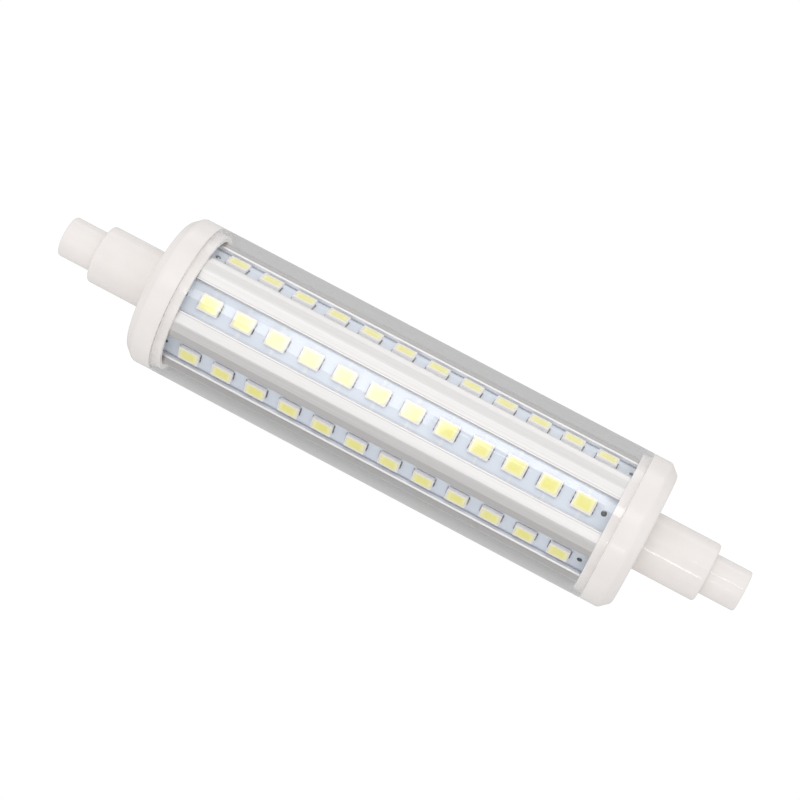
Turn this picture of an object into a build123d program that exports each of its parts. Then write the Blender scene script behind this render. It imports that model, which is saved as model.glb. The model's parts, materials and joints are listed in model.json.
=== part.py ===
from build123d import *
import os
from math import atan2, cos, degrees, radians, sin, sqrt

# Linear LED bulb with a recessed contact at each end: a clear tube closed by two white caps,
# and in it a six sided aluminium core that carries the LED strips outside and the driver inside.
# The lamp lies along X with its middle at the origin. Strip 1 faces up, +Z, and strip 2 leans to +Y.
# All sizes are in millimetres.

# Lengths along the lamp
LAMP_LENGTH = 118.0
TIP_LENGTH = 6.05
SLEEVE_LENGTH = 10.75
FLANGE_LENGTH = 4.7
SPIGOT_LENGTH = 1.5

# Clear tube
TUBE_DIAMETER = 24.8
TUBE_WALL = 0.8

# End caps
CAP_FACE_DIAMETER = 21.8
CAP_SHOULDER_LENGTH = 1.65
CAP_END_WALL = 1.3
SPIGOT_CLEARANCE = 0.1
SPIGOT_WALL = 0.85

# Stepped end sleeves and their contacts
SLEEVE_DIAMETER = 9.6
TIP_DIAMETER = 6.64
SLEEVE_HOLE_CLEARANCE = 0.05
SLEEVE_END_EDGE = 0.4
TIP_END_EDGE = 0.4
RECESS_DIAMETER = 4.4
RECESS_DEPTH = 1.8
CONTACT_HEAD_DIAMETER = 3.4
CONTACT_HEAD_THICKNESS = 0.8
CONTACT_STEM_DIAMETER = 1.6
CONTACT_TAIL = 2.6
CONTACT_CLEARANCE = 0.05

# Core extrusion, with a lipped channel for each strip
STRIP_COUNT = 6
CORE_CLEARANCE = 0.05
CORE_SEAT_DEPTH = 1.35
CORE_FLAT_WIDTH = 9.2
CORE_CORNER_ROUND = 0.3
LIP_THICKNESS = 0.73
LIP_OVERHANG = 0.8
LIP_EDGE = 0.2
CHANNEL_SIDE_CLEARANCE = 0.1
CHANNEL_TOP_CLEARANCE = 0.12
CHANNEL_FLOOR_WALL = 1.3

# LED strips
STRIP_WIDTH = 6.6
STRIP_THICKNESS = 1.0
STRIP_OVERHANG = 1.6
STRIP_SLOT_WIDTH = 0.8
STRIP_SLOT_DEPTH = 1.2
PAD_SIDES = 6
PAD_DIAMETER = 1.1
PAD_HEIGHT = 0.2
PAD_TOP_DIAMETER = 0.6
PAD_NEAR = 3.35
PAD_FAR = 4.35

# LEDs, in a row on each strip
LED_PITCH = 5.8
LED_ROW_MARGIN = 4.0
LED_ROW_SHIFT = -0.39
LED_LENGTH = 3.5
LED_WIDTH = 2.8
LED_HEIGHT = 0.8
WINDOW_LENGTH = 2.9
WINDOW_WIDTH = 2.2
WINDOW_DEPTH = 0.35
WINDOW_CORNER = 0.35
PHOSPHOR_DROP = 0.05
TERMINAL_THICKNESS = 0.15
TERMINAL_LENGTH = 1.2
TERMINAL_WIDTH = 2.2
TERMINAL_PROUD = 0.12

# Driver board in the bore of the core
BOARD_THICKNESS = 1.0
BOARD_DROP = 1.6
BOARD_END_GAP = 2.4
BOARD_CLEARANCE = 0.1
GROOVE_DEPTH = 0.6
COMPONENT_GAP = 1.5
BRIDGE_SIZE = (4.7, 3.9, 2.4)
CAN_SIDES = 12
RESISTOR_DIAMETER = 2.4
RESISTOR_LENGTH = 6.5
CAPACITOR_DIAMETER = 5.0
CAPACITOR_LENGTH = 11.0
CHIP_SIZE = (4.9, 3.9, 1.5)
SENSE_SIZE = (1.6, 3.2, 0.6)
SENSE_COUNT = 2

# Wires, drawn six sided
WIRE_SIDES = 6
WIRE_DIAMETER = 0.6
WIRE_STAND = 0.3
FEED_WIRE_SIDE = 2.0
LINK_RUN = 1.0
MAINS_WIRE_DIAMETER = 0.9
MAINS_WIRE_STRAIGHT = 0.6
WIRE_LANDING = 3.0

# Places along the lamp, counted from its middle
tip_end = LAMP_LENGTH / 2
sleeve_end = tip_end - TIP_LENGTH
cap_face = sleeve_end - SLEEVE_LENGTH
seam = cap_face - FLANGE_LENGTH
spigot_rim = seam - SPIGOT_LENGTH
cap_floor = cap_face - CAP_END_WALL
core_end = spigot_rim + CORE_SEAT_DEPTH
strip_end = core_end + STRIP_OVERHANG
wire_place = strip_end - STRIP_SLOT_DEPTH + STRIP_SLOT_WIDTH / 2
board_end = core_end - BOARD_END_GAP
recess_floor = tip_end - RECESS_DEPTH
contact_seat = recess_floor - CONTACT_HEAD_THICKNESS
stem_end = cap_floor - CONTACT_TAIL

# As many LEDs as fit between the spigots
led_count = int(2 * (spigot_rim - LED_ROW_MARGIN) / LED_PITCH) + 1
last_led = (led_count - 1) / 2 * LED_PITCH

# Distances from the lamp's axis
tube_radius = TUBE_DIAMETER / 2
spigot_radius = tube_radius - TUBE_WALL - SPIGOT_CLEARANCE
spigot_inner = spigot_radius - SPIGOT_WALL
sleeve_radius = SLEEVE_DIAMETER / 2
core_radius = spigot_inner - CORE_CLEARANCE
lip_top = sqrt(core_radius**2 - (CORE_FLAT_WIDTH / 2) ** 2)
lip_under = lip_top - LIP_THICKNESS
strip_top = lip_under - CHANNEL_TOP_CLEARANCE
channel_floor = strip_top - STRIP_THICKNESS
channel_half = STRIP_WIDTH / 2 + CHANNEL_SIDE_CLEARANCE
mouth_half = channel_half - LIP_OVERHANG
bore_radius = channel_floor - CHANNEL_FLOOR_WALL

# The driver board lies below the axis, in two grooves of the bore
board_top = BOARD_THICKNESS / 2 - BOARD_DROP
board_under = -BOARD_THICKNESS / 2 - BOARD_DROP
groove_half = sqrt(bore_radius**2 - BOARD_DROP**2) + GROOVE_DEPTH
board_half = groove_half - BOARD_CLEARANCE

STRIP_ANGLES = [k * 360 / STRIP_COUNT for k in range(STRIP_COUNT)]
# The strips are wired in two strings, 1 to 3 and 4 to 6, so the middle one of each lies end for end
STRING_LENGTH = STRIP_COUNT // 2
RETURN_STRIP = 1


def turned(*points):
    """A solid of revolution about the lamp's axis, from (x, radius) points."""
    return revolve(make_face(Polyline(*[(x, 0, r) for x, r in points], close=True)), Axis.X)


def at_left(part):
    """The same piece at the lamp's other end."""
    return Rot(0, 0, 180) * part


def on_strip(k, part):
    """A piece modelled over the top strip, turned to strip k."""
    return Rot(-STRIP_ANGLES[k], 0, 0) * part


def across(points):
    """A flat face across the lamp, from (y, z) points."""
    return make_face(Polyline(*[(0, y, z) for y, z in points], close=True))


def wire(diameter, *points):
    """A wire along straight runs with mitred corners."""
    path = Polyline(*points)
    section = Plane(origin=path @ 0, z_dir=path % 0) * RegularPolygon(diameter / 2, WIRE_SIDES)
    return sweep(section, path, transition=Transition.RIGHT)


def spoke(k, radius, x):
    """The point at that distance from the axis, straight behind the middle of strip k."""
    angle = radians(STRIP_ANGLES[k % STRIP_COUNT])
    return (x, radius * sin(angle), radius * cos(angle))


def clear_tube():
    bore = tube_radius - TUBE_WALL
    return turned((-seam, bore), (seam, bore), (seam, tube_radius), (-seam, tube_radius))


def end_cap():
    """Flange, sloping shoulder and the thin spigot that centres the tube and the core."""
    hole_radius = sleeve_radius + SLEEVE_HOLE_CLEARANCE
    return turned(
        (spigot_rim, spigot_inner),
        (spigot_rim, spigot_radius),
        (seam, spigot_radius),
        (seam, tube_radius),
        (cap_face - CAP_SHOULDER_LENGTH, tube_radius),
        (cap_face, CAP_FACE_DIAMETER / 2),
        (cap_face, hole_radius),
        (cap_floor, hole_radius),
        (cap_floor, spigot_inner),
    )


def base_sleeve():
    """Stepped sleeve, bonded in the hole of the cap."""
    tip_radius = TIP_DIAMETER / 2
    recess_radius = RECESS_DIAMETER / 2
    seat_radius = CONTACT_HEAD_DIAMETER / 2 + CONTACT_CLEARANCE
    stem_hole = CONTACT_STEM_DIAMETER / 2 + CONTACT_CLEARANCE
    return turned(
        (cap_floor, stem_hole),
        (cap_floor, sleeve_radius),
        (sleeve_end - SLEEVE_END_EDGE, sleeve_radius),
        (sleeve_end, sleeve_radius - SLEEVE_END_EDGE),
        (sleeve_end, tip_radius),
        (tip_end - TIP_END_EDGE, tip_radius),
        (tip_end, tip_radius - TIP_END_EDGE),
        (tip_end, recess_radius),
        (recess_floor, recess_radius),
        (recess_floor, seat_radius),
        (contact_seat, seat_radius),
        (contact_seat, stem_hole),
    )


def contact():
    """Recessed contact: a head in its seat, a stem through the sleeve and a tail for the wire."""
    head = CONTACT_HEAD_DIAMETER / 2
    stem = CONTACT_STEM_DIAMETER / 2
    return turned(
        (stem_end, 0),
        (stem_end, stem),
        (contact_seat, stem),
        (contact_seat, head),
        (recess_floor, head),
        (recess_floor, 0),
    )


def heat_sink_core():
    """Extruded core: flats and corner facets outside, a lipped channel under each flat, a bore."""
    flat = CORE_FLAT_WIDTH / 2
    corners = []
    for k in range(STRIP_COUNT):
        angle = radians(STRIP_ANGLES[k])
        for y in (-flat, flat):
            corners.append((y * cos(angle) + lip_top * sin(angle), lip_top * cos(angle) - y * sin(angle)))
    section = across(corners)
    section = fillet(section.vertices(), CORE_CORNER_ROUND)
    above = lip_top + LIP_EDGE
    half_channel = [
        (channel_half, channel_floor),
        (channel_half, lip_under),
        (mouth_half, lip_under),
        (mouth_half, lip_top - LIP_EDGE),
        (mouth_half + 2 * LIP_EDGE, above),
    ]
    channel = across(half_channel + [(-y, z) for y, z in reversed(half_channel)])
    for k in range(STRIP_COUNT):
        section -= on_strip(k, channel)
    section -= Plane.YZ * Circle(bore_radius)
    groove_half_height = BOARD_THICKNESS / 2 + BOARD_CLEARANCE / 2
    low = -BOARD_DROP - groove_half_height
    high = -BOARD_DROP + groove_half_height
    section -= across([(-groove_half, low), (groove_half, low), (groove_half, high), (-groove_half, high)])
    return extrude(section, amount=core_end, dir=(1, 0, 0), both=True)


def led_strip():
    """One circuit board strip, with a slot for the wire in each end."""
    middle = strip_top - STRIP_THICKNESS / 2
    board = Pos(0, 0, middle) * Box(2 * strip_end, STRIP_WIDTH, STRIP_THICKNESS)
    for x in (-strip_end, strip_end):
        board -= Pos(x, 0, middle) * Box(2 * STRIP_SLOT_DEPTH, STRIP_SLOT_WIDTH, STRIP_THICKNESS)
    return board


def window_face(z):
    """The outline of an LED's window at that height, with the corner that marks its polarity cut."""
    a = WINDOW_LENGTH / 2
    b = WINDOW_WIDTH / 2
    c = WINDOW_CORNER
    points = [(-a, -b), (a - c, -b), (a, c - b), (a, b), (-a, b)]
    return make_face(Polyline(*[(x, y, z) for x, y in points], close=True))


led_foot = strip_top + TERMINAL_THICKNESS
led_top = strip_top + LED_HEIGHT


def led_housing():
    height = led_top - led_foot
    body = Pos(0, 0, led_foot + height / 2) * Box(LED_LENGTH, LED_WIDTH, height)
    return body - extrude(window_face(led_top), amount=WINDOW_DEPTH, dir=(0, 0, -1))


def led_phosphor():
    depth = WINDOW_DEPTH - PHOSPHOR_DROP
    return extrude(window_face(led_top - PHOSPHOR_DROP), amount=depth, dir=(0, 0, -1))


def led_terminal(side):
    x = side * (LED_LENGTH / 2 + TERMINAL_PROUD - TERMINAL_LENGTH / 2)
    z = strip_top + TERMINAL_THICKNESS / 2
    return Pos(x, 0, z) * Box(TERMINAL_LENGTH, TERMINAL_WIDTH, TERMINAL_THICKNESS)


def is_return(k):
    return k % STRING_LENGTH == RETURN_STRIP


def led_row(k, *pieces):
    """Copies of an LED's pieces at the pitch of the row, on strip k."""
    turn = 180 if is_return(k) else 0
    row = []
    for i in range(led_count):
        x = LED_ROW_SHIFT - last_led + i * LED_PITCH
        row += [on_strip(k, Pos(x, 0, 0) * Rot(0, 0, turn) * piece) for piece in pieces]
    return Compound(children=row)


def solder_pads():
    """The small solder domes at the ends of the strips, one side nearer to its LED than the other."""
    foot = Pos(0, 0, strip_top) * RegularPolygon(PAD_DIAMETER / 2, PAD_SIDES)
    slope = degrees(atan2((PAD_DIAMETER - PAD_TOP_DIAMETER) / 2, PAD_HEIGHT))
    dome = extrude(foot, amount=PAD_HEIGHT, taper=slope)
    pads = []
    for k in range(STRIP_COUNT):
        right, left = (PAD_FAR, PAD_NEAR) if is_return(k) else (PAD_NEAR, PAD_FAR)
        for x in (LED_ROW_SHIFT + last_led + right, LED_ROW_SHIFT - last_led - left):
            pads.append(on_strip(k, Pos(x, 0, 0) * dome))
    return Compound(children=pads)


def on_board(x, size, under=False):
    """A block that stands on the driver board, or hangs under it."""
    length, width, height = size
    z = board_under - height / 2 if under else board_top + height / 2
    return Pos(x, 0, z) * Box(length, width, height)


def driver_board():
    return Pos(0, 0, -BOARD_DROP) * Box(2 * board_end, 2 * board_half, BOARD_THICKNESS)


def lying_can(x, diameter, length):
    """A round component that lies on the board, along it, drawn with flat sides."""
    outline = RegularPolygon(diameter / 2, CAN_SIDES, major_radius=False, rotation=180 / CAN_SIDES)
    can = extrude(Plane.YZ * outline, amount=length / 2, both=True)
    return Pos(x, 0, board_top + diameter / 2) * can


def feed_wire(k, end):
    """From the driver board out of the bore and through the end slot of strip k."""
    angle = radians(STRIP_ANGLES[k])
    y = -FEED_WIRE_SIDE if STRIP_ANGLES[k] > 180 else FEED_WIRE_SIDE
    z = board_top + WIRE_DIAMETER / 2 if cos(angle) > 0 else board_under - WIRE_DIAMETER / 2
    x = end * wire_place
    return wire(
        WIRE_DIAMETER,
        (end * (board_end - WIRE_LANDING), y, z),
        (x, y, z),
        spoke(k, channel_floor - LINK_RUN, x),
        spoke(k, strip_top + WIRE_STAND, x),
    )


def link_wire(k, end):
    """A staple from the end slot of strip k to that of the next strip."""
    inner = channel_floor - LINK_RUN
    outer = strip_top + WIRE_STAND
    x = end * wire_place
    return wire(
        WIRE_DIAMETER,
        spoke(k, outer, x),
        spoke(k, inner, x),
        spoke(k + 1, inner, x),
        spoke(k + 1, outer, x),
    )


def mains_wire():
    """From the contact's tail to the end of the driver board."""
    z = board_top + MAINS_WIRE_DIAMETER / 2
    return wire(
        MAINS_WIRE_DIAMETER,
        (stem_end, 0, 0),
        (stem_end - MAINS_WIRE_STRAIGHT, 0, 0),
        (board_end, 0, z),
        (board_end - WIRE_LANDING, 0, z),
    )


# On top of the board the components stand in a row from its left end, underneath from its right end
first_component = board_end - WIRE_LANDING - COMPONENT_GAP
resistor_x = -first_component + RESISTOR_LENGTH / 2
bridge_x = resistor_x + RESISTOR_LENGTH / 2 + COMPONENT_GAP + BRIDGE_SIZE[0] / 2
capacitor_x = bridge_x + BRIDGE_SIZE[0] / 2 + COMPONENT_GAP + CAPACITOR_LENGTH / 2
chip_x = first_component - CHIP_SIZE[0] / 2
sense_pitch = SENSE_SIZE[0] + COMPONENT_GAP
first_sense = chip_x - CHIP_SIZE[0] / 2 - COMPONENT_GAP - SENSE_SIZE[0] / 2
sense_places = [first_sense - i * sense_pitch for i in range(SENSE_COUNT)]

nodes = {
    "clear_tube": clear_tube(),
    "right_end_cap": end_cap(),
    "left_end_cap": at_left(end_cap()),
    "right_base_sleeve": base_sleeve(),
    "left_base_sleeve": at_left(base_sleeve()),
    "right_contact": contact(),
    "left_contact": at_left(contact()),
    "heat_sink_core": heat_sink_core(),
    "strip_solder_pads": solder_pads(),
    "driver_board": driver_board(),
    "bridge_rectifier": on_board(bridge_x, BRIDGE_SIZE),
    "fusible_resistor": lying_can(resistor_x, RESISTOR_DIAMETER, RESISTOR_LENGTH),
    "bulk_capacitor": lying_can(capacitor_x, CAPACITOR_DIAMETER, CAPACITOR_LENGTH),
    "driver_chip": on_board(chip_x, CHIP_SIZE, under=True),
    "sense_resistors": Compound(children=[on_board(x, SENSE_SIZE, under=True) for x in sense_places]),
    "right_mains_wire": mains_wire(),
    "left_mains_wire": at_left(mains_wire()),
    "right_feed_wires": Compound(children=[feed_wire(0, 1), feed_wire(STRING_LENGTH, 1)]),
    "left_feed_wires": Compound(children=[feed_wire(STRING_LENGTH - 1, -1), feed_wire(STRIP_COUNT - 1, -1)]),
    "right_link_wires": Compound(children=[link_wire(k, 1) for k in (1, STRING_LENGTH + 1)]),
    "left_link_wires": Compound(children=[link_wire(k, -1) for k in (0, STRING_LENGTH)]),
}
for k in range(STRIP_COUNT):
    nodes[f"led_strip_{k + 1}"] = on_strip(k, led_strip())
    nodes[f"led_housings_{k + 1}"] = led_row(k, led_housing())
    nodes[f"led_phosphors_{k + 1}"] = led_row(k, led_phosphor())
    nodes[f"led_terminals_{k + 1}"] = led_row(k, led_terminal(-1), led_terminal(1))

os.makedirs("parts", exist_ok=True)
for name, shape in nodes.items():
    export_step(shape, f"parts/{name}.step")
    print(name, len(shape.solids()), round(shape.volume, 3))
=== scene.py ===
# %% [markdown]
# # A linear LED bulb, dressed for the camera
# The solids of the lamp are already built and packed. This lesson loads them as a fixed frame, makes the
# pieces whose looks need more than a plain solid, gives every piece a finish made of nodes, and lights it
# all. The lamp lies along X, its middle is at the origin, and one strip of LEDs faces straight up.

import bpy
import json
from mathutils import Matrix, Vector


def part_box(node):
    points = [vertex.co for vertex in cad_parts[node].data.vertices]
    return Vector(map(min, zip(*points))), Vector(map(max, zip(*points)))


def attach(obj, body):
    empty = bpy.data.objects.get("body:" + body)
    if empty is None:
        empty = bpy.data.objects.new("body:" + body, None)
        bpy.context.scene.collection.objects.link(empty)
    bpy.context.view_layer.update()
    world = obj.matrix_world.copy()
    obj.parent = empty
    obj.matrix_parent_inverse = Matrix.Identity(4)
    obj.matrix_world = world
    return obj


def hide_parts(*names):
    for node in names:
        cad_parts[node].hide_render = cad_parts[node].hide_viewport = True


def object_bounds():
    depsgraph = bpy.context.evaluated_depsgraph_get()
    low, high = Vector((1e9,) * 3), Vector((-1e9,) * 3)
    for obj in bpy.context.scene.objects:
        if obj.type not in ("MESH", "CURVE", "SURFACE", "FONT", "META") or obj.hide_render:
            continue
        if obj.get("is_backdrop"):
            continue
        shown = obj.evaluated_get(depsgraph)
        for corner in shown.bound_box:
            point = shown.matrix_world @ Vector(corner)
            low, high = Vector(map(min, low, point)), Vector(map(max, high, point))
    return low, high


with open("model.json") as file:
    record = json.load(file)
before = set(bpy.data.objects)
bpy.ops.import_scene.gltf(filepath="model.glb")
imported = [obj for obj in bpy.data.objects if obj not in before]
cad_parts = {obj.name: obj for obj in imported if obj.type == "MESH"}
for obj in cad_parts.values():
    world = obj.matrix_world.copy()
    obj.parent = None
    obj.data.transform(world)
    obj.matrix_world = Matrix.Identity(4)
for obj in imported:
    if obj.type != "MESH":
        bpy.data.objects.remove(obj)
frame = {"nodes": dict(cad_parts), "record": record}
cad_box = [list(corner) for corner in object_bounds()]
print("solids loaded:", len(frame["nodes"]))

# %% Modules and units
import json
from math import cos, pi, radians, sin, tan

import bmesh
import bpy
from mathutils import Matrix, Vector

MM = 0.001
scene = bpy.context.scene
scene.view_settings.view_transform = "Standard"
print("box of the solids in mm:", [[round(v / MM, 2) for v in corner] for corner in cad_box])

# %% [markdown]
# ## Sizes come from the solids
# A dressed piece has to sit exactly where its solid sits, so the main sizes are read from the boxes of
# the solids and turned into millimetres. Only sizes that a box can't tell, such as a wall or a recess,
# are written out again.

# %% Main sizes in millimetres
def span(node):
    """The two corners of a solid's box, in millimetres."""
    low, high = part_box(node)
    return low / MM, high / MM


TUBE_WALL = 0.8
seam = span("clear_tube")[1].x
tube_radius = span("clear_tube")[1].z
spigot_rim = span("right_end_cap")[0].x
cap_face = span("right_end_cap")[1].x
cap_floor = span("right_base_sleeve")[0].x
tip_end = span("right_base_sleeve")[1].x
sleeve_radius = span("right_base_sleeve")[1].z
strip_top = span("led_strip_1")[1].z
led_top = span("led_housings_1")[1].z
STRIPS = 6
LED_PITCH = 5.8
IN_A_ROW = 12
ROW_MIDDLE = -0.39
FIRST_LED = ROW_MIDDLE - LED_PITCH * (IN_A_ROW - 1) / 2
print("tube", round(2 * tube_radius, 2), "lamp", round(2 * tip_end, 2), "strip top at", round(strip_top, 2))

# %% [markdown]
# ## Node trees written as expressions
# Wiring nodes by hand hides the arithmetic. One small class wraps a socket, so that `1 - mask` or `a * b`
# adds the Math node that does it, and one method adds every other kind of node. The same two work for
# materials and for Geometry Nodes, because both are node trees. As a trial, one short expression is
# written and the nodes that it adds are counted.

# %% A socket that can be calculated with
class Value:
    """An output socket that can stand in a Python expression."""

    def __init__(self, graph, socket):
        self.graph = graph
        self.socket = socket

    def maths(self, operation, first, second):
        return self.graph.add("ShaderNodeMath", {"operation": operation}, {0: first, 1: second})

    def __add__(self, other):
        return self.maths("ADD", self, other)

    def __radd__(self, other):
        return self.maths("ADD", other, self)

    def __sub__(self, other):
        return self.maths("SUBTRACT", self, other)

    def __rsub__(self, other):
        return self.maths("SUBTRACT", other, self)

    def __mul__(self, other):
        return self.maths("MULTIPLY", self, other)

    def __rmul__(self, other):
        return self.maths("MULTIPLY", other, self)

    def __truediv__(self, other):
        return self.maths("DIVIDE", self, other)

    def __pow__(self, other):
        return self.maths("POWER", self, other)

    def __mod__(self, other):
        return self.maths("FLOORED_MODULO", self, other)

    def __abs__(self):
        return self.maths("ABSOLUTE", self, 0.0)

    def floor(self):
        return self.maths("FLOOR", self, 0.0)


class Graph:
    """A node tree that gives each new node's output back as a Value."""

    def __init__(self, tree):
        self.tree = tree

    def add(self, kind, settings=None, sockets=None, out=0):
        node = self.tree.nodes.new(kind)
        for name, setting in (settings or {}).items():
            setattr(node, name, setting)
        for key, value in (sockets or {}).items():
            if isinstance(value, Value):
                self.tree.links.new(value.socket, node.inputs[key])
            else:
                node.inputs[key].default_value = value
        return Value(self, node.outputs[out]) if len(node.outputs) else node

    def ease(self, value, start, end, low=0.0, high=1.0):
        """Goes smoothly from low to high while value goes from start to end."""
        ends = {"Value": value, 1: start, 2: end, 3: low, 4: high}
        return self.add("ShaderNodeMapRange", {"interpolation_type": "SMOOTHSTEP"}, ends)

    def levels(self, value, *stops):
        """A level that goes smoothly from stop to stop, each stop a value and the level there."""
        total = stops[0][1]
        for (low, level), (high, next_level) in zip(stops, stops[1:]):
            total = self.ease(value, low, high, 0.0, next_level - level) + total
        return total

    def axes(self, vector):
        """The three parts of a vector."""
        split = self.add("ShaderNodeSeparateXYZ", {}, {0: vector}).socket.node
        return [Value(self, split.outputs[i]) for i in range(3)]


trial = Graph(bpy.data.node_groups.new("trial", "ShaderNodeTree"))
answer = 1 - 2 * trial.add("ShaderNodeValue")
print("1 - 2 * share adds", len(trial.tree.nodes) - 1, "nodes and ends in", answer.socket.node.operation)
bpy.data.node_groups.remove(trial.tree)

# %% [markdown]
# ## What all finishes share
# Every finish starts from the place on the piece, in Object coordinates, so its pattern has a true size
# in millimetres and doesn't slide when the lamp is moved. Noise, a blend of two colours and a low relief
# are enough for nearly all of them. Colours are read from a picture as 0 to 255, but shaders work in
# linear light, so one function changes them over.

# %% Finishes
class Finish(Graph):
    """A material under construction, with the few patterns that several finishes share."""

    def __init__(self, name):
        self.material = bpy.data.materials.new(name)
        self.material.use_nodes = True
        super().__init__(self.material.node_tree)
        self.tree.nodes.clear()
        self.place = self.add("ShaderNodeTexCoord", out="Object")

    def scaled(self, x, y, z):
        """The place on the piece, stretched, with 1 for a millimetre."""
        stretch = (x / MM, y / MM, z / MM)
        return self.add("ShaderNodeVectorMath", {"operation": "MULTIPLY"}, {0: self.place, 1: stretch})

    def noise(self, vector, scale, detail=2.0):
        return self.add("ShaderNodeTexNoise", {}, {"Vector": vector, "Scale": scale, "Detail": detail})

    def blend(self, share, first, second):
        """A colour between two colours."""
        return self.add("ShaderNodeMix", {"data_type": "RGBA"}, {0: share, 6: first, 7: second}, out=2)

    def relief(self, height, distance, strength=1.0):
        """The normal of a surface whose relief is height times distance, in millimetres."""
        sockets = {"Height": height, "Distance": distance * MM, "Strength": strength}
        return self.add("ShaderNodeBump", {}, sockets)

    def surface(self, shader):
        """Ends the finish in that shader."""
        self.add("ShaderNodeOutputMaterial", {}, {"Surface": shader})
        print("finish:", self.material.name, "nodes:", len(self.tree.nodes))
        return self.material

    def principled(self, sockets):
        return self.surface(self.add("ShaderNodeBsdfPrincipled", {}, sockets))


def colour(red, green, blue):
    """A colour from the 0 to 255 values that a picture shows."""
    channels = [c / 255 for c in (red, green, blue)]
    return [c / 12.92 if c <= 0.04045 else ((c + 0.055) / 1.055) ** 2.4 for c in channels] + [1.0]


print("mid grey in linear light:", round(colour(128, 128, 128)[0], 3))

# %% [markdown]
# ## All strips as one
# The lamp is the same on all six sides, and a finish that is right for one side should be right for all.
# So the place on any side is folded onto the side that faces up: the angle round the axis is rounded to
# the nearest sixth of a turn, and the place is turned back by that angle. In the same way, a remainder
# folds the twelve LEDs of a row onto one.

# %% Folding the lamp onto one strip and one LED
SIXTH = 2 * pi / STRIPS


def on_top_strip(f):
    """The place along the lamp, out from the strip's middle line and up, as if that strip faced up."""
    x, y, z = f.axes(f.scaled(1, 1, 1))
    angle = f.add("ShaderNodeMath", {"operation": "ARCTAN2"}, {0: y, 1: z})
    turn = (angle * (1 / SIXTH) + 0.5).floor() * SIXTH
    cosine = f.add("ShaderNodeMath", {"operation": "COSINE"}, {0: turn})
    sine = f.add("ShaderNodeMath", {"operation": "SINE"}, {0: turn})
    return x, abs(y * cosine - z * sine), y * sine + z * cosine


def from_led(x):
    """The distance along the lamp to the middle of the nearest LED, in millimetres."""
    return abs(((x - FIRST_LED) / LED_PITCH + 0.5) % 1.0 - 0.5) * LED_PITCH


print("each row of LEDs starts at", round(FIRST_LED, 2), "mm")

# %% [markdown]
# ## Turned pieces
# The tube, the caps and the sleeves are all round about the same axis. On the real lamp they are an
# extruded pipe and two mouldings, and most moulded corners have a small radius that catches the light. A
# list of corners with their radii, swept round the axis in code, gives those roundings exactly. A guard
# point just outside each rounding keeps the smooth shading of the corner from creeping along the straight
# wall. A Screw modifier could sweep the outline too, but then its first and last rings would have to be
# merged.

# %% A closed outline with rounded corners, swept round the axis
GUARD = 0.08
TURNED_EDGE = 32


def rounded(corners, steps=6):
    """The points of a closed outline, where each corner is (x, distance from the axis, rounding)."""
    points = []
    for i, (x, r, size) in enumerate(corners):
        here = Vector((x, r))
        if size == 0:
            points.append(here)
            continue
        back = (Vector(corners[i - 1][:2]) - here).normalized()
        ahead = (Vector(corners[(i + 1) % len(corners)][:2]) - here).normalized()
        half = back.angle(ahead) / 2
        middle = here + (back + ahead).normalized() * size / sin(half)
        start, end = (here + way * size / tan(half) for way in (back, ahead))
        points.append(start + back * GUARD)
        for step in range(steps + 1):
            points.append(middle + (start.lerp(end, step / steps) - middle).normalized() * size)
        points.append(end + ahead * GUARD)
    return points


def turned(name, corners, side=1, segments=160):
    """A mesh of revolution about X. With side -1 it belongs to the lamp's left end."""
    outline = rounded(corners)
    shape = bmesh.new()
    rings = []
    for s in range(segments):
        t = 2 * pi * s / segments
        places = [(side * x * MM, r * sin(t) * MM, r * cos(t) * MM) for x, r in outline]
        rings.append([shape.verts.new(place) for place in places])
    for s in range(segments):
        ring, following = rings[s - 1], rings[s]
        for i in range(len(outline)):
            shape.faces.new((ring[i - 1], ring[i], following[i], following[i - 1]))
    return meshed(name, shape, TURNED_EDGE)


def meshed(name, shape, sharp):
    """A plain mesh with its faces outwards, smooth apart from edges sharper than that many degrees."""
    bmesh.ops.recalc_face_normals(shape, faces=shape.faces)
    for face in shape.faces:
        face.smooth = True
    mesh = bpy.data.meshes.new(name)
    shape.to_mesh(mesh)
    shape.free()
    mesh.set_sharp_from_angle(angle=radians(sharp))
    return mesh


# %% Placing a finished piece
def put(name, mesh, finish, slot, *nodes):
    """Shows a mesh in place of those solids, with its finish, and lets it ride on the lamp."""
    piece = bpy.data.objects.new(name, mesh)
    scene.collection.objects.link(piece)
    mesh.materials.clear()
    mesh.materials.append(finish)
    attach(piece, "root")
    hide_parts(*nodes)
    size = [round(d / MM, 2) for d in piece.dimensions]
    print("piece:", name, "faces:", len(mesh.polygons), "size in mm:", size)


# %% [markdown]
# ## The clear tube
# The real tube is a thin pipe of clear plastic. Looked at squarely it is hardly there, and towards its
# sides it turns into a mirror. Bending the light properly would make the LEDs noisy and dark, and a wall
# this thin bends it very little, so the wall lets the view straight through and only adds its mirror
# share, which grows with the slant, and a trace of haze from fine drawn streaks. Near its ends a paler
# haze is added, and that part is painted light: it stands in for the light that the white caps throw
# into the wall. Light on its way to the LEDs passes freely.

# %% Clear plastic
HAZE_STARTS, HAZE_FULL = 34.5, 37.5


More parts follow.
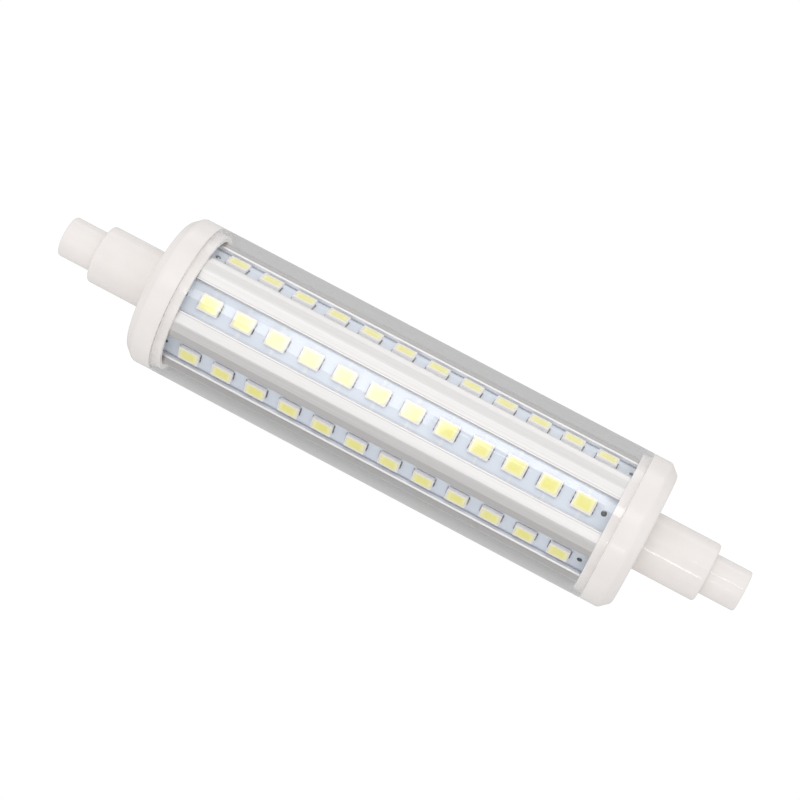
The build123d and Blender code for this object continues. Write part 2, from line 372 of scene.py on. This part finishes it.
def clear_plastic():
    f = Finish("clear_plastic")
    slant = f.add("ShaderNodeLayerWeight", {}, {"Blend": 0.5}, out="Facing")
    mirror_share = 0.04 + 0.16 * slant**3
    streak = f.noise(f.scaled(0.02, 0.6, 0.6), 1.0)
    along = abs(f.axes(f.scaled(1, 1, 1))[0])
    # Painted light: near the ends the haze grows, standing in for light that the white caps throw into the
    # wall.
    painted_cap_light = f.ease(along, HAZE_STARTS, HAZE_FULL, 0.0, 0.4)
    haze_and_cap_light_share = 0.004 + 0.012 * streak + f.ease(slant, 0.3, 0.9, 0.0, 1.0) * (0.05 + painted_cap_light)
    clear = f.add("ShaderNodeBsdfTransparent", {}, {"Color": (1, 1, 1, 1)})
    mirror = f.add("ShaderNodeBsdfGlossy", {}, {"Color": (1, 1, 1, 1), "Roughness": 0.03})
    skin = f.add("ShaderNodeMixShader", {}, {0: mirror_share, 1: clear, 2: mirror})
    haze = f.add("ShaderNodeBsdfPrincipled", {}, {"Base Color": colour(222, 222, 222), "Roughness": 0.3})
    seen = f.add("ShaderNodeMixShader", {}, {0: haze_and_cap_light_share, 1: skin, 2: haze})
    from_eye = f.add("ShaderNodeLightPath", out="Is Camera Ray")
    return f.surface(f.add("ShaderNodeMixShader", {}, {0: from_eye, 1: clear, 2: seen}))


bore = tube_radius - TUBE_WALL
tube_corners = [
    (-seam, bore, 0.12),
    (seam, bore, 0.12),
    (seam, tube_radius, 0.15),
    (-seam, tube_radius, 0.15),
]
pipe = turned("clear_pipe", tube_corners, segments=256)
put("clear_pipe", pipe, clear_plastic(), "clear_plastic", "clear_tube")

# %% [markdown]
# ## End caps and sleeves
# Both are moulded in a warm white plastic with a soft gloss. Moulded plastic is never quite even: shade
# and gloss change slowly over the piece, and the skin has a very low, fine grain, so all three come from
# noise that is read in millimetres on the piece itself.

# %% Moulded white plastic
def moulded_white(name, shade, rough):
    f = Finish(name)
    cloud = f.noise(f.scaled(1, 1, 1), 0.18, 3.0)
    grain = f.noise(f.scaled(1, 1, 1), 9.0, 2.0)
    low, high = (colour(*(channel - drop for channel in shade)) for drop in (4, 0))
    return f.principled(
        {
            "Base Color": f.blend(f.ease(cloud, 0.3, 0.7), low, high),
            "Roughness": rough * (0.7 + 0.4 * cloud + 0.2 * grain),
            "Normal": f.relief(grain, 0.004, 0.35),
            "IOR": 1.47,
        }
    )


cap_finish = moulded_white("cap_plastic", (240, 235, 232), 0.16)
sleeve_finish = moulded_white("sleeve_plastic", (240, 235, 232), 0.08)

# %% Caps
BOTH_ENDS = (1, "right"), (-1, "left")
SPIGOT_GAP, SPIGOT_WALL, SLEEVE_GAP = 0.1, 0.85, 0.05
CAP_FACE_RADIUS, SHOULDER_LENGTH = 10.9, 1.65
spigot_radius = bore - SPIGOT_GAP
spigot_inner = spigot_radius - SPIGOT_WALL
cap_corners = [
    (spigot_rim, spigot_inner, 0.15),
    (spigot_rim, spigot_radius, 0.15),
    (seam, spigot_radius, 0),
    (seam, tube_radius, 0.2),
    (cap_face - SHOULDER_LENGTH, tube_radius, 1.0),
    (cap_face, CAP_FACE_RADIUS, 1.0),
    (cap_face, sleeve_radius + SLEEVE_GAP, 0.12),
    (cap_floor, sleeve_radius + SLEEVE_GAP, 0),
    (cap_floor, spigot_inner, 0.3),
]
for side, end in BOTH_ENDS:
    mesh = turned(f"{end}_cap", cap_corners, side)
    put(f"{end}_cap", mesh, cap_finish, "cap_plastic", f"{end}_end_cap")

# %% Sleeves
TIP_LENGTH, TIP_RADIUS = 6.05, 3.32
RECESS_DEPTH, RECESS_RADIUS = 1.8, 2.2
SEAT_DEPTH, SEAT_RADIUS, STEM_HOLE = 0.8, 1.75, 0.85
recess_floor = tip_end - RECESS_DEPTH
sleeve_end = tip_end - TIP_LENGTH
sleeve_corners = [
    (cap_floor, STEM_HOLE, 0),
    (cap_floor, sleeve_radius, 0),
    (sleeve_end, sleeve_radius, 0.5),
    (sleeve_end, TIP_RADIUS, 0.12),
    (tip_end, TIP_RADIUS, 0.4),
    (tip_end, RECESS_RADIUS, 0.2),
    (recess_floor, RECESS_RADIUS, 0),
    (recess_floor, SEAT_RADIUS, 0),
    (recess_floor - SEAT_DEPTH, SEAT_RADIUS, 0),
    (recess_floor - SEAT_DEPTH, STEM_HOLE, 0),
]
for side, end in BOTH_ENDS:
    mesh = turned(f"{end}_sleeve", sleeve_corners, side, segments=128)
    put(f"{end}_sleeve", mesh, sleeve_finish, "sleeve_plastic", f"{end}_base_sleeve")

# %% [markdown]
# ## One LED, built once
# Each LED is a small white box with a window of yellow phosphor and a tinned leg at each end. One LED is
# modelled over the strip that faces up, from loops of points that are joined by a skin of quads, and the
# cut corner of the window marks its polarity as on the real package.

# %% Loops and skins
def window_loop(half_x, half_y, z, rounding, cut=0.0):
    """A rectangle with rounded corners, the one at +x and -y cut straight if cut is given."""
    loop = []
    for sx, sy, start in ((1, -1, -90), (1, 1, 0), (-1, 1, 90), (-1, -1, 180)):
        for step in range(4):
            if cut and (sx, sy) == (1, -1):
                share = step / 3
                loop.append((half_x - cut * (1 - share), -half_y + cut * share, z))
            else:
                t = radians(start + 30 * step)
                x = sx * (half_x - rounding) + rounding * cos(t)
                y = sy * (half_y - rounding) + rounding * sin(t)
                loop.append((x, y, z))
    return loop


def skinned(name, stacks, sharp=40):
    """A mesh of closed skins. Each stack is a list of loops with the same number of points."""
    shape = bmesh.new()
    for loops in stacks:
        rings = [[shape.verts.new([c * MM for c in point]) for point in loop] for loop in loops]
        shape.faces.new(rings[0])
        shape.faces.new(rings[-1])
        for lower, upper in zip(rings, rings[1:]):
            for i in range(len(lower)):
                shape.faces.new((lower[i - 1], lower[i], upper[i], upper[i - 1]))
    return meshed(name, shape, sharp)


# %% The pieces of one LED
HALF_LONG, HALF_WIDE = 1.75, 1.40
LEG_THICKNESS, LEG_PROUD, LEG_INNER, LEG_HALF_WIDE = 0.15, 0.16, 0.67, 0.95
LEG_EDGE, LEG_SLOPE = 0.05, 0.06


def inside(inset, below_top, rounding, cut=0.0):
    """A loop that far inside the package's outline and below the top of the LED."""
    return window_loop(HALF_LONG - inset, HALF_WIDE - inset, led_top - below_top, rounding, cut)


package_foot = inside(0.03, led_top - strip_top - LEG_THICKNESS, 0.12)
package_rim = [inside(0.0, 0.08, 0.14), inside(0.06, 0.0, 0.12)]
package_well = [inside(0.21, 0.0, 0.2, 0.34), inside(0.29, 0.3, 0.18, 0.32)]
package = skinned("one_package", [[package_foot, *package_rim, *package_well]])
phosphor_foot = inside(0.3, 0.29, 0.18, 0.32)
phosphor_top = [inside(0.24, 0.06, 0.19, 0.33), inside(0.41, 0.045, 0.15, 0.28)]
phosphor = skinned("one_window", [[phosphor_foot, *phosphor_top]])


def leg(side):
    """One tinned leg: a thin plate under the package with a sloping edge of solder outside it."""
    inner = side * LEG_INNER
    outer = side * (HALF_LONG + LEG_PROUD)
    middle, half = (inner + outer) / 2, abs(outer - inner) / 2
    loops = []
    for inset, height in ((0, 0), (0, LEG_EDGE), (LEG_SLOPE, LEG_THICKNESS)):
        loop = window_loop(half - inset, LEG_HALF_WIDE - inset, strip_top + height, 0.06)
        loops.append([(middle + x, y, z) for x, y, z in loop])
    return loops


legs = skinned("one_pair_of_legs", [leg(-1), leg(1)])
print("faces of one LED:", [len(mesh.polygons) for mesh in (package, phosphor, legs)])

# %% [markdown]
# ## Seventy-two LEDs from one
# Six strips carry twelve LEDs each. Copying them by hand would be dull and easy to get wrong, so a
# Geometry Nodes tree counts: point number i belongs to strip i / 12, and its place in the row is the
# remainder. In the solids the middle strip of each string of three is wired the other way, so its LEDs
# are turned round.

# %% The tree that deals pieces out along the strips
def dealing_tree():
    tree = bpy.data.node_groups.new("deal_along_strips", "GeometryNodeTree")
    wanted = {
        "Piece": "NodeSocketObject",
        "Finish": "NodeSocketMaterial",
        "Strips": "NodeSocketInt",
        "In a row": "NodeSocketInt",
        "Pitch": "NodeSocketFloat",
        "First place": "NodeSocketFloat",
        "Shift when turned": "NodeSocketFloat",
    }
    for name, kind in wanted.items():
        tree.interface.new_socket(name, in_out="INPUT", socket_type=kind)
    tree.interface.new_socket("Geometry", in_out="OUTPUT", socket_type="NodeSocketGeometry")
    g = Graph(tree)
    given = g.add("NodeGroupInput").socket.node
    inputs = {name: Value(g, given.outputs[name]) for name in wanted}
    index = g.add("GeometryNodeInputIndex")
    row = (index / inputs["In a row"]).floor()
    place = index % inputs["In a row"]
    is_turned = g.add("FunctionNodeCompare", {"operation": "EQUAL"}, {0: row % 3, 1: 1.0})
    x = inputs["First place"] + inputs["Pitch"] * place + inputs["Shift when turned"] * is_turned
    lean = row * (-2 * pi) / inputs["Strips"] * (1 - 2 * is_turned)
    points = g.add("GeometryNodeMeshLine", {}, {"Count": inputs["Strips"] * inputs["In a row"]})
    spot = g.add("ShaderNodeCombineXYZ", {}, {"X": x})
    spread = g.add("GeometryNodeSetPosition", {}, {0: points, "Position": spot})
    turn = g.add("ShaderNodeCombineXYZ", {}, {"X": lean, "Z": pi * is_turned})
    as_made = {"transform_space": "ORIGINAL"}
    piece = g.add("GeometryNodeObjectInfo", as_made, {"Object": inputs["Piece"]}, out="Geometry")
    copies = {"Points": spread, "Instance": piece, "Rotation": turn}
    dealt = g.add("GeometryNodeInstanceOnPoints", {}, copies)
    real = g.add("GeometryNodeRealizeInstances", {}, {0: dealt})
    painted = g.add("GeometryNodeSetMaterial", {}, {0: real, "Material": inputs["Finish"]})
    g.add("NodeGroupOutput", {}, {"Geometry": painted})
    return tree


deal = dealing_tree()
print("tree:", deal.name, "nodes:", len(deal.nodes))


# %% Running the tree and keeping a plain mesh
def dealt_out(name, one, finish, **sizes):
    """Copies of one mesh along the strips, as a plain mesh."""
    sample = bpy.data.objects.new(name + "_sample", one)
    holder = bpy.data.objects.new(name + "_holder", bpy.data.meshes.new(name + "_holder"))
    scene.collection.objects.link(holder)
    modifier = holder.modifiers.new("Deal", "NODES")
    modifier.node_group = deal
    values = {"Piece": sample, "Finish": finish, "Strips": STRIPS}
    values |= {key.replace("_", " "): size for key, size in sizes.items()}
    for item in deal.interface.items_tree:
        if item.in_out == "INPUT":
            modifier[item.identifier] = values[item.name]
    graph = bpy.context.evaluated_depsgraph_get()
    mesh = bpy.data.meshes.new_from_object(holder.evaluated_get(graph))
    mesh.name = name
    for used in (holder, sample):
        bpy.data.objects.remove(used)
    return mesh


# %% [markdown]
# ## Finishes of the LEDs
# The package is a bright white plastic. The window is silicone filled with yellow phosphor powder, deeper
# in colour at its middle, paler towards its rim and very finely grained, under a clear skin that mirrors
# the lamps. The legs are tinned copper with solder on them, so they are metal, but dull and dark against
# all that white.

# %% White package, yellow window, tinned legs
def package_white():
    f = Finish("led_plastic")
    fleck = f.noise(f.scaled(1, 1, 1), 6.0)
    return f.principled(
        {
            "Base Color": f.blend(fleck, colour(233, 229, 229), colour(243, 240, 240)),
            "Roughness": 0.34 + 0.12 * fleck,
        }
    )


WINDOW_HALF_LONG, WINDOW_HALF_WIDE = 1.5, 1.15
FADE_ALONG, FADE_ACROSS = 0.8, 0.6


def phosphor_yellow():
    f = Finish("phosphor")
    powder = f.noise(f.scaled(1, 1, 1), 14.0, 3.0)
    pool = f.noise(f.scaled(1, 1, 1), 0.5)
    pale, deep = colour(246, 241, 148), colour(244, 236, 112)
    x, across = on_top_strip(f)[:2]
    from_end = f.ease(WINDOW_HALF_LONG - from_led(x), 0.0, FADE_ALONG)
    from_side = f.ease(WINDOW_HALF_WIDE - across, 0.0, FADE_ACROSS)
    near_rim = 1 - from_end * from_side
    fill = f.blend(f.ease(0.55 * powder + 0.45 * pool, 0.3, 0.7), pale, deep)
    return f.principled(
        {
            "Base Color": f.blend(0.7 * near_rim, fill, colour(250, 248, 208)),
            "Roughness": 0.06 + 0.1 * powder,
            "Coat Weight": 1.0,
            "IOR": 1.6,
            "Coat Roughness": 0.08,
            "Normal": f.relief(powder, 0.01, 0.3),
        }
    )


TARNISHED = 0.14


def tinned(name, shade, rough, tarnish):
    """Tin that is mottled with dark tarnish, more of it the nearer tarnish is to 1."""
    f = Finish(name)
    mottle = f.noise(f.scaled(1, 1, 1), 3.0, 4.0)
    dark = [channel * TARNISHED for channel in shade[:3]] + [1.0]
    return f.principled(
        {
            "Base Color": f.blend(f.ease(mottle, tarnish, tarnish + 0.18), dark, shade),
            "Roughness": rough + 0.25 * mottle,
            "Metallic": 1.0,
            "Normal": f.relief(mottle, 0.03, 0.5),
        }
    )


# %% Deal out the LEDs
row = {
    "In_a_row": IN_A_ROW,
    "Pitch": LED_PITCH * MM,
    "First_place": FIRST_LED * MM,
    "Shift_when_turned": 0.0,
}
white = package_white()
yellow = phosphor_yellow()
tin = tinned("tinned_terminal", colour(206, 202, 196), 0.3, 0.46)
led_kinds = (
    ("led_packages", package, white, "led_plastic", "led_housings"),
    ("led_windows", phosphor, yellow, "phosphor", "led_phosphors"),
    ("led_legs", legs, tin, "tinned_terminal", "led_terminals"),
)
for name, one, finish, slot, solid in led_kinds:
    solids = [f"{solid}_{k}" for k in range(1, STRIPS + 1)]
    put(name, dealt_out(name, one, finish, **row), finish, slot, *solids)

# %% [markdown]
# ## Solder joints at the strip ends
# Near each end of a strip a small dark dome of solder holds the wire from below. The same tree deals
# these out: two in a row, a whole row's length apart, and shifted on the strips that are turned round.

# %% Domes of solder
JOINT_RADIUS, JOINT_HEIGHT, JOINT_SIDES = 0.46, 0.2, 20
FIRST_JOINT, JOINT_PITCH, JOINT_SHIFT = -36.64, 71.5, 1.0
dome_loops = []
for angle in (0, 18, 36, 54, 70, 82):
    ring = JOINT_RADIUS * cos(radians(angle))
    height = strip_top + JOINT_HEIGHT * sin(radians(angle))
    turns = [2 * pi * i / JOINT_SIDES for i in range(JOINT_SIDES)]
    dome_loops.append([(ring * cos(t), ring * sin(t), height) for t in turns])
dome = skinned("one_joint", [dome_loops], sharp=60)
ends = {
    "In_a_row": 2,
    "Pitch": JOINT_PITCH * MM,
    "First_place": FIRST_JOINT * MM,
    "Shift_when_turned": JOINT_SHIFT * MM,
}
solder = tinned("solder", colour(214, 214, 218), 0.2, 0.52)
joints = dealt_out("solder_joints", dome, solder, **ends)
put("solder_joints", joints, solder, "solder", "strip_solder_pads")

# %% [markdown]
# ## Finishes of the solids that stay
# The aluminium core, the strips and everything inside keep their solids and only get a finish. The core
# is an extrusion, so its marks run along it: noise that is stretched a hundredfold or more along X turns
# into fine drawn lines on every flat, in the roughness, in the shade and in a very low relief. Each lip
# also has one fine groove beside its edge, from the tool that drew it, and falls away a little towards
# the corner of the core. The groove is a dip in the relief, and its darker colour is painted shade. The
# fall is a slope in the relief: it turns the mirrored light without moving the metal. The foot of each
# lip, down beside the strip, is painted darker: a painted shade where the lip shades the strip's edge.

# %% Drawn aluminium
LIP_EDGE, CORE_CORNER, LIP_FALL = 2.9, 4.6, 0.32
GROOVE_PLACE = 3.03
SHADE_FOOT_HEIGHT = 0.36, 0.26
SHADE_FOOT_REACH = 2.75, 2.65


def drawn_aluminium():
    f = Finish("core_aluminium")
    fine = f.noise(f.scaled(0.015, 6.0, 6.0), 1.0, 3.0)
    broad = f.noise(f.scaled(0.01, 0.9, 0.9), 1.0, 2.0)
    lines = 0.6 * fine + 0.4 * broad
    across, upward = on_top_strip(f)[1:]
    groove_relief_and_shade = f.ease(abs(across - GROOVE_PLACE), 0.1, 0.04)
    on_lip = {"Value": across, "Min": LIP_EDGE, "Max": CORE_CORNER}
    fall = f.add("ShaderNodeClamp", {}, on_lip) * LIP_FALL
    metal = f.blend(f.ease(lines, 0.3, 0.7), colour(236, 234, 233), colour(248, 246, 245))
    # Painted shade: the foot of each lip beside the strip is painted darker, where the lip shades the
    # strip's edge.
    foot_shade = f.ease(upward - strip_top, *SHADE_FOOT_HEIGHT) * f.ease(across, *SHADE_FOOT_REACH)
    with_foot_shade = f.blend(foot_shade, metal, colour(206, 207, 214))
    return f.principled(
        {
            # Painted shade: the groove is a dip in the relief, and its darker colour here is painted shade
            # in it.
            "Base Color": f.blend(0.6 * groove_relief_and_shade, with_foot_shade, colour(196, 195, 196)),
            "Roughness": 0.32 + 0.14 * lines,
            "Metallic": 1.0,
            "Normal": f.relief(0.006 * fine - 0.018 * groove_relief_and_shade - fall, 1.0),
        }
    )


# %% [markdown]
# ## The strips
# A strip is a thin circuit board under a bluish white solder mask. The copper below shows through as a
# slightly darker blue, in fields that stop short of the edges and break under each LED. Two soft steps,
# one across the strip and one along it, multiply to those fields, and the same mask gives them a very low
# relief.

# %% Bluish white mask over copper
COPPER_EDGE = 2.75, 2.62
COPPER_BREAK = 0.22, 0.34


def strip_mask():
    f = Finish("strip_mask")
    x, across = on_top_strip(f)[:2]
    copper = f.ease(across, *COPPER_EDGE) * f.ease(from_led(x), *COPPER_BREAK)
    cloud = f.noise(f.scaled(0.4, 1, 1), 0.5)
    mask = f.blend(f.ease(cloud, 0.3, 0.7), colour(226, 232, 239), colour(233, 238, 243))
    return f.principled(
        {
            "Base Color": f.blend(copper * 0.7, mask, colour(214, 223, 237)),
            "Roughness": 0.36 + 0.1 * cloud - 0.05 * copper,
            "Normal": f.relief(copper, 0.035, 0.6),
        }
    )


# %% [markdown]
# ## What is shut in or hidden
# Each contact is turned on a lathe and nickel plated, so its head has fine rings round the axis: the
# noise is read by the distance from the axis alone. The driver parts are out of sight inside the core and
# get simple two-tone finishes, so that a cut through the lamp still looks right.

# %% Turned contacts
def turned_nickel():
    f = Finish("contact_metal")
    y, z = f.axes(f.scaled(1, 1, 1))[1:]
    rings = f.noise((y * y + z * z) ** 0.5, 7.0, 2.0)
    return f.principled(
        {
            "Base Color": f.blend(rings, colour(190, 184, 174), colour(226, 222, 214)),
            "Roughness": 0.16 + 0.14 * rings,
            "Metallic": 1.0,
            "Normal": f.relief(rings, 0.01, 0.6),
        }
    )


# %% Finishes inside the lamp
def plain_part(name, dark, pale, rough, metal=0.0):
    """A finish for what is shut in: two shades of one colour, mixed by fine noise."""
    f = Finish(name)
    fleck = f.noise(f.scaled(1, 1, 1), 2.5, 3.0)
    return f.principled(
        {
            "Base Color": f.blend(f.ease(fleck, 0.35, 0.65), colour(*dark), colour(*pale)),
            "Roughness": rough + 0.15 * fleck,
            "Metallic": metal,
            "Normal": f.relief(fleck, 0.02, 0.3),
        }
    )


finishes = {
    "core_aluminium": drawn_aluminium(),
    "strip_mask": strip_mask(),
    "contact_metal": turned_nickel(),
    "driver_laminate": plain_part("driver_laminate", (24, 92, 52), (40, 122, 70), 0.35),
    "black_epoxy": plain_part("black_epoxy", (22, 22, 23), (40, 40, 42), 0.45),
    "resistor_lacquer": plain_part("resistor_lacquer", (110, 160, 172), (136, 184, 194), 0.4),
    "capacitor_sleeve": plain_part("capacitor_sleeve", (34, 34, 46), (52, 52, 66), 0.25),
    "wire_insulation": plain_part("wire_insulation", (188, 36, 30), (214, 60, 50), 0.4),
    "tinned_wire": plain_part("tinned_wire", (176, 176, 176), (208, 208, 208), 0.25, 1.0),
}
for part in frame["record"]["subparts"]:
    node = frame["nodes"][part["node"]]
    if part["material_slot"] in finishes and not node.hide_render:
        node.data.materials.clear()
        node.data.materials.append(finishes[part["material_slot"]])
print("solids shown:", sum(not node.hide_render for node in frame["nodes"].values()))

# %% [markdown]
# ## The floor and the light
# The lamp lies on a pale sweep that the picture shows as pure white around it, and as a pale grey where
# the tube lies between. One plain floor can't be both, so its light depends on the way that a ray came:
# the Light Path node tells a look straight from the camera, a look through the walls of the tube, and a
# look by way of a gloss. Each of the three gets its own level, and light that only falls on the floor
# finds it matte. Each stop below is a place along Y in metres and the level there.

# %% Which rays see the ground
def ground_rays(g):
    """Three masks: a look straight at the ground, one through the tube, and one by way of a gloss."""
    rays = g.add("ShaderNodeLightPath").socket.node
    kinds = ("Camera", "Glossy", "Transmission")
    camera, glossy, through = (Value(g, rays.outputs[f"Is {kind} Ray"]) for kind in kinds)
    walls = Value(g, rays.outputs["Transparent Depth"])
    behind_tube = camera * g.add("ShaderNodeMath", {"operation": "GREATER_THAN"}, {0: walls, 1: 0.5})
    mirrored = g.add("ShaderNodeMath", {"operation": "MAXIMUM"}, {0: glossy, 1: through})
    return camera - behind_tube, behind_tube, mirrored


# %% Floor
FLOOR_HALF = 3.0
SEEN_WHITE, FULL_WHITE = 0.94, 1.03
# The gloss stops paint the floor darker near the lamp and on the near side, lighter far out on the far
# side: a painted shadow that the metal mirrors.
GLOSS_SHADE_STOPS = (-0.06, 0.52), (0.03, 0.6), (0.05, 0.6), (0.3, 1.44)
# The tube stops paint a shadow under the lamp on the floor seen through the tube: darkest right below the
# core, paler toward the tube's edges.
TUBE_SHADOW_STOPS = (-0.012, 0.53), (-0.0098, 0.31), (0.0, 0.31), (0.01, 0.5)


def white_floor():
    f = Finish("white_floor")
    straight, behind_tube, mirrored = ground_rays(f)
    across = f.axes(f.place)[1]
    in_gloss = f.levels(across, *GLOSS_SHADE_STOPS)
    # Painted shadow under the lamp, for the floor as seen through the tube.
    shadow_below_tube = f.levels(across, *TUBE_SHADOW_STOPS)
    matte = f.add("ShaderNodeBsdfDiffuse", {}, {"Color": colour(244, 244, 244)})
    level = FULL_WHITE * straight + behind_tube * shadow_below_tube + mirrored * in_gloss
    white = f.add("ShaderNodeEmission", {}, {"Color": level, "Strength": 1.0})
    share = SEEN_WHITE * (straight + behind_tube + mirrored)
    return f.surface(f.add("ShaderNodeMixShader", {}, {0: share, 1: matte, 2: white}))


sheet = bmesh.new()
bmesh.ops.create_grid(sheet, x_segments=1, y_segments=1, size=FLOOR_HALF)
bmesh.ops.translate(sheet, verts=sheet.verts, vec=(0, 0, cad_box[0][2]))
floor = bpy.data.objects.new("floor", meshed("floor", sheet, 30))
floor.data.materials.append(white_floor())
scene.collection.objects.link(floor)
floor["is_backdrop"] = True

# %% [markdown]
# ## The sky
# A pale sky all round gives the plain level of light, a little darker on the near side. What a gloss
# mirrors is shaded more strongly from side to side, as in a white tent that is open on its near side,
# because that is what draws the pale and grey bands on the metal. The stops give the level by the Y part
# of the direction, from -1 on the near side to 1 on the far side.

# %% Sky
THROUGH_TUBE = 0.46
PLAIN_STOPS = (-0.9, 0.85), (0.1, 0.92), (0.9, 0.87)
NEAR_STOPS = (-1, 0.4), (-0.83, 0.53), (-0.5, 1.04)
FAR_STOPS = (0.6, 0.96), (0.85, 0.79), (0.93, 0.79), (1, 1.35)
sky = bpy.data.worlds.new("studio")
scene.world = sky
sky.use_nodes = True
g = Graph(sky.node_tree)
g.tree.nodes.clear()
straight, behind_tube, mirrored = ground_rays(g)
across, upward = g.axes(g.add("ShaderNodeTexCoord", out="Generated"))[1:]
plain = g.levels(across, *PLAIN_STOPS) * g.ease(upward, 0.2, 1.0, 0.96, 1.1)
in_gloss = g.levels(across, *NEAR_STOPS, *FAR_STOPS) * g.ease(upward, 0.9, 0.99, 1.0, 0.75)
level = plain + mirrored * (in_gloss - plain)
seen = straight + behind_tube
strength = straight + THROUGH_TUBE * behind_tube + (1 - seen) * level
background = g.add("ShaderNodeBackground", {}, {"Color": strength, "Strength": 1.0})
g.add("ShaderNodeOutputWorld", {}, {"Surface": background})
print("sky nodes:", len(g.tree.nodes))

# %% [markdown]
# ## The softboxes
# The bright bars on the lamp are mirror images of lamps above it. Each softbox is placed where the mirror
# law puts it for one of those bars: the right, middle and left ones show on the tube and the strip below
# it, with a rim and a fade beside the middle one, the frame bar is a thin line on the tube, and the cap,
# sleeve and tip ones are the small highlights on the white plastic. Their power follows from their area,
# so that a larger softbox isn't a brighter one.

# %% Lamps
LAMP_HEIGHT = 600


def softbox(name, low, high, radiance):
    """A flat rectangular lamp that faces down, over the corners low and high in millimetres."""
    width, depth = high[0] - low[0], high[1] - low[1]
    light = bpy.data.lights.new(name, "AREA")
    light.shape = "RECTANGLE"
    light.size, light.size_y = width * MM, depth * MM
    light.energy = radiance * pi * width * depth * MM * MM
    lamp = bpy.data.objects.new(name, light)
    lamp.location = ((low[0] + high[0]) / 2 * MM, (low[1] + high[1]) / 2 * MM, LAMP_HEIGHT * MM)
    scene.collection.objects.link(lamp)
    print("lamp:", name, "power in W:", round(light.energy, 3))


softbox("right_softbox", (-40, 133), (36, 290), 2.6)
softbox("cap_softbox", (36, 75), (54, 235), 2.0)
softbox("middle_softbox", (-113, -45), (-40, 290), 2.3)
softbox("middle_rim", (-128, 156), (-113, 290), 1.0)
softbox("middle_fade", (-113, -215), (-40, -45), 0.6)
softbox("left_softbox", (-150, 3), (-113, 156), 2.1)
softbox("frame_bar", (-46, 69), (4, 82), 2.5)
softbox("sleeve_strip", (56, -410), (88, -346), 8.0)
softbox("tip_strip", (85, 86), (103, 114), 10.0)

# %% [markdown]
# ## The camera
# The photograph looks almost straight down with a long lens, and the lamp lies slanting across the
# picture. The three axes of the camera were found by fitting the rows of LEDs, so they are written as
# they came out.

# %% Camera
SENSOR, FOCAL_PIXELS, PICTURE_PIXELS = 36.0, 2426.5, 800
eye = Vector((33.43, -27.98, 371.1)) * MM
right = Vector((0.88083, 0.47138, -0.04404))
up = Vector((-0.46444, 0.87840, 0.11273))
back = right.cross(up).normalized()
lens = bpy.data.cameras.new("camera")
lens.sensor_width = SENSOR
lens.lens = FOCAL_PIXELS / PICTURE_PIXELS * SENSOR
lens.clip_start, lens.clip_end = 0.01, 10.0
eye_piece = bpy.data.objects.new("camera", lens)
eye_piece.matrix_world = Matrix.Translation(eye) @ Matrix((right, up, back)).transposed().to_4x4()
scene.collection.objects.link(eye_piece)
scene.camera = eye_piece
print("camera height in mm:", round(eye.z / MM, 1), "lens in mm:", round(lens.lens, 1))

# %% [markdown]
# ## Last measure
# The dressed lamp has to be exactly as large as its solids, so the largest gap between both boxes is
# printed.

# %% Compare the boxes and finish
seen_box = [list(corner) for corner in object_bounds()]
gaps = [abs(a - b) for cad, seen in zip(cad_box, seen_box) for a, b in zip(cad, seen)]
print("largest difference in mm:", round(max(gaps) / MM, 4))
